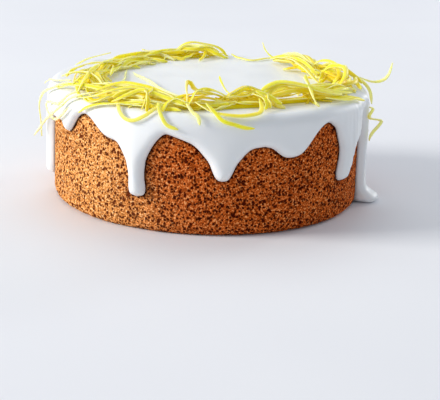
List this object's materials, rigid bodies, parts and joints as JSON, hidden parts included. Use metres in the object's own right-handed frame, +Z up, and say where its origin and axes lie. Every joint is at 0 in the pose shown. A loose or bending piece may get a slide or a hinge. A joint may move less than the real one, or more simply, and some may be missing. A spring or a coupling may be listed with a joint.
{
  "type": "round lemon drizzle cake",
  "caption": "A round sponge cake under white poured icing that drips down its side, topped with a loose wreath of lemon zest strips",
  "frame": {"origin": "the middle of the flat underside of the sponge, on the plane that the cake stands on", "axes": "+Z is up, -Y is the front that the reference view shows, +X is to the viewer's right"},
  "size_m": [0.2373, 0.2163, 0.0934],
  "materials": {
    "sponge": "open golden brown crumb, dull and full of small pores",
    "icing": "smooth white set icing with a soft gloss",
    "zest": "moist lemon yellow rind, paler at its cut edges"
  },
  "bodies": {
    "root": {"sponge": "sponge", "icing": "icing", "zest_wreath": "zest", "zest_strip_01": "zest", "zest_strip_02": "zest", "zest_strip_03": "zest", "zest_strip_04": "zest", "zest_strip_05": "zest", "zest_strip_06": "zest", "zest_strip_07": "zest", "zest_strip_08": "zest", "zest_strip_09": "zest", "zest_strip_10": "zest", "zest_strip_11": "zest", "zest_strip_12": "zest", "zest_strip_13": "zest", "zest_strip_14": "zest", "zest_strip_15": "zest", "zest_strip_16": "zest", "zest_strip_17": "zest", "zest_strip_18": "zest", "zest_strip_19": "zest", "zest_strip_20": "zest"}
  },
  "joints": []
}
